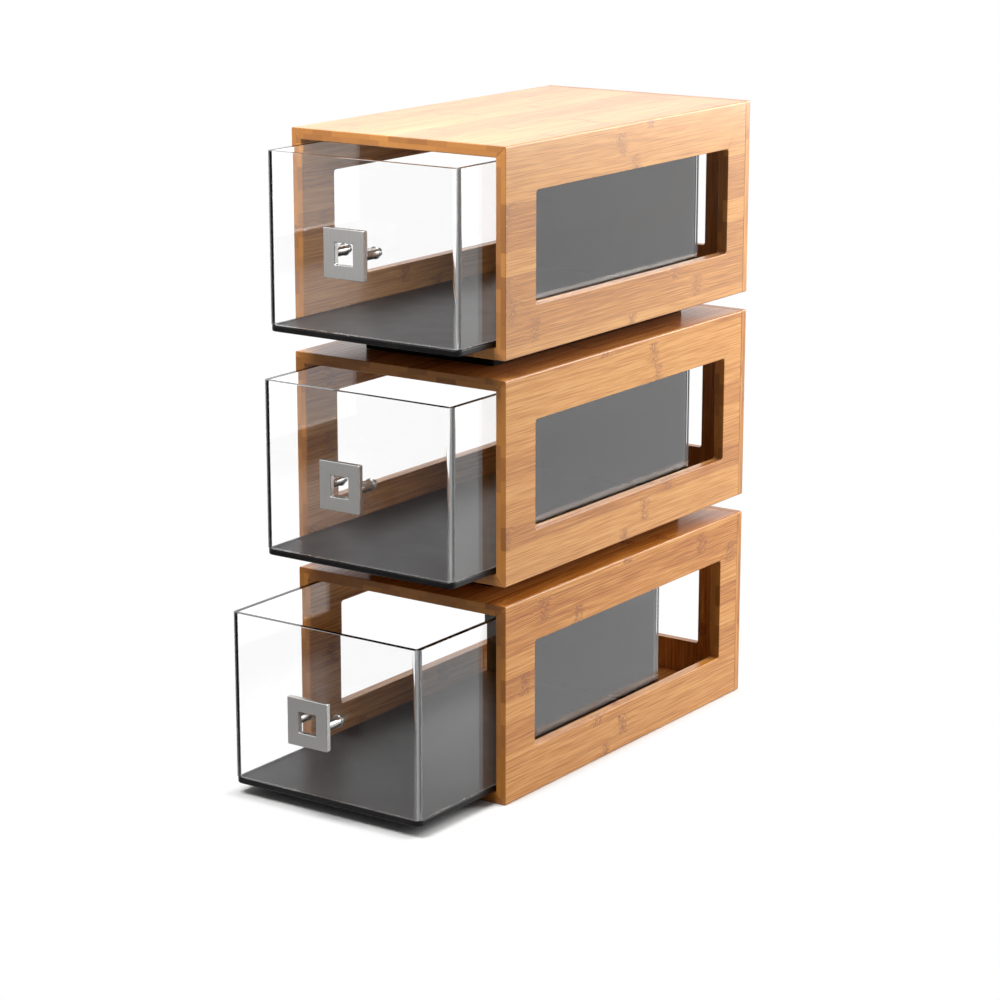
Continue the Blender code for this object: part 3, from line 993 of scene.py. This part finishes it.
@dataclass
class Drawer(Assembly):
    """One tier's drawer: a black base, the clear front and sides in one bent sheet, and a black back."""

    base_corner: float = 7.0 * MM
    base_edge: float = 1.4 * MM
    sheet: float = 4.5 * MM
    bend: float = 5.5 * MM
    polish: float = 0.35 * MM
    hole_radius: float = 2.3 * MM
    edge_steps: int = 5
    corner_steps: int = 20
    hole_steps: int = 32
    MOVES = True

    def build(self) -> list[Piece]:
        """Builds the base, the wall and the back."""
        return [self._base(), self._wall(), self._back()]

    def _base(self) -> Piece:
        """Builds the base, a slab with round edges.

        Returns:
            The piece.
        """
        node = self.own("drawer_base")
        space = Space.of_node(node, Way.REAR, Way.UP)
        steps = (self.edge_steps, self.corner_steps)
        points = slab(space.size, self.base_edge, self.base_corner, steps, even=True)
        piece = new_piece(self.own("base_plate"), points, space, [self.finishes.base])
        return self.settle(piece, node, "black_plastic")

    def _wall(self) -> Piece:
        """Builds the clear wall, drilled for the handle's screws.

        Formula: the sheet's section, a thin upright rectangle with polished edges, carried along its plan: up
        one side, round a quarter-circle bend, across the front, round the other bend and back. A point is the
        plan's centre line, plus the section's offset times the plan's outward normal, plus its height.

        Returns:
            The piece.
        """
        node = self.own("drawer_wall")
        low, high = corners(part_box(node))
        half = self.sheet / 2
        bends = np.concatenate((arc_angles(0, -1, self.corner_steps), arc_angles(-1, -2, self.corner_steps)))
        centres = np.repeat((high[0] - self.bend, low[0] + self.bend), self.corner_steps + 1)
        angle = np.pad(bends, 1, mode="edge")
        centre_x = np.pad(centres, 1, mode="edge")
        centre_y = np.full(len(angle), low[1] + self.bend)
        centre_y[[0, -1]] = high[1]
        normal = np.stack((np.cos(angle), np.sin(angle)), -1)
        line = np.stack((centre_x, centre_y), -1) + (self.bend - half) * normal
        section = loops((-half, half), (low[2], high[2]), self.polish, np.zeros(1), self.edge_steps)[0]
        plan = line[:, None] + section[None, :, :1] * normal[:, None]
        rise = np.broadcast_to(section[None, :, 1:2], (*plan.shape[:2], 1))
        piece = new_piece(
            self.own("clear_wall"), np.concatenate((plan, rise), -1), None,
            [self.finishes.clear, self.finishes.base], takes_second=looks_down,
        )
        drill(piece, [self._screw_hole(side, low[1]) for side in Handle.SIDES])
        return self.settle(piece, node, "clear_acrylic")

    def _screw_hole(self, side: str, front: float) -> Piece:
        """Makes the cutter of one screw hole: a cylinder through the front, longer than the sheet is thick.

        Args:
            side: which of the handle's screws.
            front: the y of the wall's front face.

        Returns:
            The cutter.
        """
        low, high = corners(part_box(self.own(f"{side}_screw")))
        centre = (low + high) / 2
        centre[1] = front
        space = Space(centre, np.array((Way.UP.vector, Way.RIGHT.vector, Way.REAR.vector)), high - low)
        reach = np.array((-2.0, 2.0)) * self.sheet
        points = turned(np.full(2, self.hole_radius), reach, self.hole_steps)
        return new_piece(self.own(f"{side}_hole"), points, space, [self.finishes.clear])

    def _back(self) -> Piece:
        """Builds the back, a thin black sheet with sawn and polished edges.

        Returns:
            The piece.
        """
        node = self.own("drawer_back")
        space = Space.of_node(node, Way.UP, Way.REAR)
        points = slab(space.size, self.polish, self.polish, (self.edge_steps, self.edge_steps), even=False)
        piece = new_piece(self.own("back_sheet"), points, space, [self.finishes.black_acrylic])
        return self.settle(piece, node, "black_acrylic")


@dataclass
class Handle(Assembly):
    """A drawer's handle: a square plate with a square hole, on two posts, each with a screw from inside."""

    hole: float = 18.5 * MM
    corner: float = 0.8 * MM
    ease: float = 0.6 * MM
    post_radius: float = 4.8 * MM
    flange: float = 1.4 * MM
    chamfer: float = 0.4 * MM
    screw_radius: float = 2.0 * MM
    head: float = 2.2 * MM
    head_round: float = 0.8 * MM
    socket_radius: float = 1.4 * MM
    socket_depth: float = 1.4 * MM
    bore_depth: float = 9.3 * MM
    clearance: float = 0.3 * MM
    edge_steps: int = 5
    turn_steps: int = 48
    MOVES = True
    SIDES = ("left", "right")

    def build(self) -> list[Piece]:
        """Builds the plate, the posts and the screws.

        Returns:
            The pieces.
        """
        posts = [self._post(side) for side in self.SIDES]
        screws = [self._screw(side) for side in self.SIDES]
        return [self._plate(), *posts, *screws]

    def _plate(self) -> Piece:
        """Builds the plate, a square slab with a square hole, with eased edges inside and out.

        Returns:
            The piece.
        """
        node = self.own("handle_plate")
        space = Space.of_node(node, Way.UP, Way.FRONT)
        outer = slab(space.size, self.ease, self.corner, (self.edge_steps, self.edge_steps), even=False)
        inset, height = rim(space.size[2], self.ease, self.edge_steps)
        reach = self.hole / 2 + inset
        middle = space.size[0] / 2
        bend = self.corner + inset
        inner = loops((middle - reach, middle + reach), (-reach, reach), bend, height, self.edge_steps)
        piece = new_piece(
            self.own("pull_plate"), np.concatenate((outer, inner[::-1])), space,
            [self.finishes.brushed, self.finishes.plate_edge], ring=True, takes_second=looks_aside,
        )
        return self.settle(piece, node, "brushed_steel")

    def _post(self, side: str) -> Piece:
        """Builds a post: its profile, with a flange at the wall and a blind bore, turned about its axis.

        Args:
            side: left or right.

        Returns:
            The piece.
        """
        node = self.own(f"{side}_post")
        space = Space.of_node(node, Way.UP, Way.FRONT).centred(far_end=True)
        flange_radius = space.size[0] / 2
        length = space.size[2]
        bore = self.screw_radius + self.clearance
        soft, drop = rim(length, self.chamfer, self.edge_steps)
        top = slice(self.edge_steps + 1, None)
        flange_soft, flange_drop = rim(self.flange, self.chamfer, self.edge_steps)
        radius = np.concatenate((
            (bore, bore, flange_radius - self.chamfer),
            flange_radius - flange_soft, (self.post_radius,), self.post_radius - soft[top],
        ))
        height = np.concatenate((
            (self.bore_depth, 0.0, 0.0), self.flange + flange_drop, (self.flange,), length + drop[top],
        ))
        points = turned(radius, height, self.turn_steps)
        piece = new_piece(self.own(f"{side}_pull_post"), points, space, [self.finishes.polished])
        return self.settle(piece, node, "polished_steel")

    def _screw(self, side: str) -> Piece:
        """Builds a screw: a plain shank and a button head with a hexagon socket, turned about its axis.

        Args:
            side: left or right.

        Returns:
            The piece.
        """
        node = self.own(f"{side}_screw")
        space = Space.of_node(node, Way.UP, Way.REAR).centred(far_end=True)
        head_radius = space.size[0] / 2
        length = space.size[2]
        under = length - self.head
        dome = arc_angles(0, 1, self.edge_steps)
        radius = np.concatenate((
            (self.screw_radius, self.screw_radius, head_radius),
            head_radius - self.head_round + self.head_round * np.cos(dome),
            (self.socket_radius, self.socket_radius),
        ))
        height = np.concatenate((
            (0.0, under, under),
            length - self.head_round * (1 - np.sin(dome)),
            (length, length - self.socket_depth),
        ))
        six = np.zeros(len(radius))
        six[-2:] = 1
        points = turned(radius, height, self.turn_steps, six)
        piece = new_piece(self.own(f"{side}_pull_screw"), points, space, [self.finishes.screw])
        return self.settle(piece, node, "screw_steel")


@dataclass
class Spacer(Assembly):
    """The black block that one tier stands on, with four countersunk screws from the tier's floor."""

    corner: float = 3.0 * MM
    ease: float = 0.5 * MM
    shank: float = 2.0 * MM
    head: float = 2.5 * MM
    tip: float = 3.0 * MM
    clearance: float = 0.3 * MM
    open_above: float = 4.0 * MM
    socket_radius: float = 1.4 * MM
    socket_depth: float = 1.4 * MM
    edge_steps: int = 4
    corner_steps: int = 8
    turn_steps: int = 48
    PLACES = ("front_left", "front_right", "rear_left", "rear_right")

    def build(self) -> list[Piece]:
        """Builds the block, a slab with eased edges, and the screws.

        Returns:
            The pieces.
        """
        node = self.own("spacer")
        space = Space.of_node(node, Way.REAR, Way.UP)
        points = slab(space.size, self.ease, self.corner, (self.edge_steps, self.corner_steps), even=True)
        block = new_piece(self.own("spacer_block"), points, space, [self.finishes.spacer])
        self.settle(block, node, "black_plastic")
        return [block, *(self._screw(place) for place in self.PLACES)]

    def holes(self) -> list[Piece]:
        """Makes the cutters round the screws.

        Formula: a profile turned about each screw's axis, with a straight hole and a countersink, open above.

        Returns:
            The cutters.
        """
        cutters = []
        for place in self.PLACES:
            name = self.own(f"spacer_{place}_screw")
            space = Space.of_node(name, Way.REAR, Way.UP).centred(far_end=False)
            head_radius = space.size[0] / 2 + self.clearance
            shank = self.shank + self.clearance
            radius = np.array((shank, shank, head_radius, head_radius))
            height = np.array((-space.size[2], -self.head, 0.0, self.open_above))
            cutters.append(new_piece(f"{name}_hole", turned(radius, height, self.turn_steps), space, []))
        return cutters

    def _screw(self, place: str) -> Piece:
        """Builds a screw: a profile with a conical head, a hexagon socket and a point, turned about its axis.

        Args:
            place: which corner of the block.

        Returns:
            The piece.
        """
        node = self.own(f"spacer_{place}_screw")
        space = Space.of_node(node, Way.REAR, Way.UP).centred(far_end=False)
        length = space.size[2]
        radius = np.array((
            self.clearance, self.shank, self.shank, space.size[0] / 2, self.socket_radius, self.socket_radius,
        ))
        height = np.array((-length, self.tip - length, -self.head, 0.0, 0.0, -self.socket_depth))
        points = turned(radius, height, self.turn_steps, np.array((0, 0, 0, 0, 1, 1)))
        piece = new_piece(node.replace("_screw", "_fixing"), points, space, [self.finishes.screw])
        return self.settle(piece, node, "screw_steel")


@dataclass
class Lamp:
    """A square soft lamp that looks at one point."""

    name: str
    place: tuple[float, float, float]
    size: float
    power: float

    def build(self, target: np.ndarray) -> None:
        """Hangs the lamp.

        Args:
            target: the point that it looks at.
        """
        light = bpy.data.lights.new(self.name, "AREA")
        light.size = self.size
        light.energy = self.power
        lamp = bpy.data.objects.new(self.name, light)
        lamp.location = self.place
        lamp.visible_camera = False
        lamp.rotation_euler = Vector(target - np.array(self.place)).to_track_quat("-Z", "Y").to_euler()
        bpy.context.scene.collection.objects.link(lamp)


@dataclass
class Studio:
    """A plain white studio: a floor, soft lamps, an even sky, and the camera at the photograph's angle."""

    camera_place: tuple[float, float, float] = (1.4584, -2.1391, 0.8757)
    camera_yaw: float = 0.6084
    camera_pitch: float = 0.2506
    focal_length: float = 105.43
    sensor: float = 36.0
    floor_reach: float = 14.0
    floor_colour: str = "e8e8e7"
    floor_bounce: str = "b4b4b3"
    floor_front: tuple[float, float] = (-0.565, 0.035)
    fade: float = 0.012
    sky_colour: str = "ffffff"
    sky_lean: float = 1.2
    sky_front: tuple[float, float] = (-0.75, 0.0)
    horizon: float = 0.07
    zenith: float = 0.48
    room: float = 0.22
    blown_out: float = 1.16
    lamps: tuple[Lamp, ...] = (
        Lamp("key", (0.85, 1.0, 0.95), 1.2, 28.0),
        Lamp("top", (0.1, 0.35, 2.1), 0.9, 11.6),
        Lamp("front", (-0.1, -0.72, 1.1), 0.5, 11.0),
    )

    def build(self) -> None:
        """Sets the whole studio up."""
        low, high = corners(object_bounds())
        self._camera()
        self._sky()
        self._floor()
        for lamp in self.lamps:
            lamp.build((low + high) / 2)
        bpy.context.scene.view_settings.view_transform = "Standard"

    def _camera(self) -> None:
        """Places the camera: turned by the yaw about Z, and looking down by the pitch."""
        data = bpy.data.cameras.new("camera")
        data.lens = self.focal_length
        data.sensor_width = self.sensor
        camera = bpy.data.objects.new("camera", data)
        camera.location = self.camera_place
        camera.rotation_euler = (QUARTER_TURN - self.camera_pitch, 0, self.camera_yaw)
        bpy.context.scene.collection.objects.link(camera)
        bpy.context.scene.camera = camera

    def _brightness(self, graph: Graph, height: Socket, span: tuple[float, float]) -> Socket:
        """Works out how bright the backdrop looks: white straight on, and dim in what mirrors the room.

        It is overexposed, so it stays white behind two clear walls, which each take some light away.

        Args:
            graph: the world's or the floor's graph.
            height: a measure that grows from the room in front of the object to the backdrop behind it.
            span: the measure where the room ends and where the backdrop begins.

        Returns:
            The brightness output.
        """
        add = graph.add
        path = add("LightPath").node.outputs
        front = add(
            "MapRange", Value=height, From_Min=span[0], From_Max=span[1], interpolation_type="SMOOTHSTEP",
        )
        gloss = add("MapRange", Value=front, To_Min=self.room, To_Max=self.blown_out)
        turned_back = add("Math", path["Glossy Depth"], 0.5, operation="GREATER_THAN")
        through = add("MapRange", Value=path["Is Transmission Ray"], To_Min=1.0, To_Max=self.blown_out)
        return add("Mix", turned_back, A=through, B=gloss)

    @staticmethod
    def _seen(graph: Graph) -> Socket:
        """Tells what the camera sees, straight or through gloss or glass, from light on the object.

        Args:
            graph: the world's or the floor's graph.

        Returns:
            An output that is 1 for the first and 0 for the second.
        """
        path = graph.add("LightPath").node.outputs
        mirrored = graph.add("Math", path["Is Camera Ray"], path["Is Glossy Ray"], operation="MAXIMUM")
        return graph.add("Math", mirrored, path["Is Transmission Ray"], operation="MAXIMUM")

    def _sky(self) -> None:
        """Makes a backdrop that looks white, and a soft sky, brightest overhead, that gives the light."""
        world = bpy.data.worlds.new("studio")
        world.use_nodes = True
        bpy.context.scene.world = world
        graph = Graph(world.node_tree)
        way = graph.add("SeparateXYZ", graph.add("TexCoord", out="Generated")).node.outputs
        raised = graph.add("Math", way["Z"], self.sky_lean, way["Y"], operation="MULTIPLY_ADD")
        light = graph.add("MapRange", Value=way["Z"], To_Min=self.horizon, To_Max=self.zenith)
        bright = self._brightness(graph, raised, self.sky_front)
        strength = graph.add("Mix", self._seen(graph), A=light, B=bright)
        background = world.node_tree.nodes["Background"]
        graph.feed(background, Color=linear(self.sky_colour), Strength=strength)

    @staticmethod
    def _outside(graph: Graph, low: Vector, high: Vector) -> Socket:
        """Works out how far a place on the floor is from the footprint of a box.

        Args:
            graph: the floor's graph.
            low: the box's lowest corner.
            high: its highest corner.

        Returns:
            The distance output.
        """
        middle = (low + high) / 2
        half = (high - low) / 2
        place = graph.add("TexCoord", out="Object")
        for operation, other in (
            ("SUBTRACT", (middle.x, middle.y, 0.0)), ("ABSOLUTE", (0.0, 0.0, 0.0)),
            ("SUBTRACT", (half.x, half.y, 0.0)), ("MAXIMUM", (0.0, 0.0, 0.0)),
        ):
            place = graph.add("VectorMath", place, other, operation=operation)
        return graph.add("VectorMath", place, out="Value", operation="LENGTH")

    def _floor(self) -> None:
        """Lays the floor: matt and pale under the object, and plain white beside it where it is seen."""
        material, graph, shader = new_material("studio_floor", Roughness=0.9, Specular_IOR_Level=0.0)
        add = graph.add
        bounced, pale = linear(self.floor_bounce), linear(self.floor_colour)
        colour = add(
            "Mix", self._seen(graph), at={COLOUR_A: bounced, COLOUR_B: pale}, out=MIXED, data_type="RGBA",
        )
        graph.feed(shader, Base_Color=colour)
        from_case, from_drawer = (
            self._outside(graph, *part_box(node)) for node in ("lower_bottom_panel", "lower_drawer_base")
        )
        distance = add("Math", from_case, from_drawer, operation="MINIMUM")
        far = add("MapRange", Value=distance, From_Max=self.fade, interpolation_type="SMOOTHSTEP")
        share = add("Math", far, self._seen(graph), operation="MULTIPLY")
        rearward = add("SeparateXYZ", add("TexCoord", out="Object"), out="Y")
        bright = self._brightness(graph, rearward, self.floor_front)
        white = add("Emission", Color=linear(self.sky_colour), Strength=bright)
        surface = add("MixShader", share, shader.outputs[0], white)
        graph.feed(material.node_tree.nodes["Material Output"], Surface=surface)
        reach = self.floor_reach
        mesh = bpy.data.meshes.new("floor")
        mesh.from_pydata([(-reach, -reach, 0), (reach, -reach, 0), (reach, reach, 0), (-reach, reach, 0)], [],
                         [(0, 1, 2, 3)])
        mesh.materials.append(material)
        floor = bpy.data.objects.new("floor", mesh)
        bpy.context.scene.collection.objects.link(floor)
        floor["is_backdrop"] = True


def main() -> None:
    """Loads the frame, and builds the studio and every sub-assembly."""
    logging.basicConfig(level=logging.INFO, format="%(message)s")
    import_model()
    Studio().build()
    finishes = Finishes.make()
    count = 0
    for tier in Tier:
        assemblies = [Case(tier, finishes), Drawer(tier, finishes), Handle(tier, finishes)]
        if tier is not Tier.LOWER:
            assemblies.append(Spacer(tier, finishes))
        for assembly in assemblies:
            count += len(assembly.build())
    LOG.info("%d pieces", count)


if __name__ == "__main__":
    main()
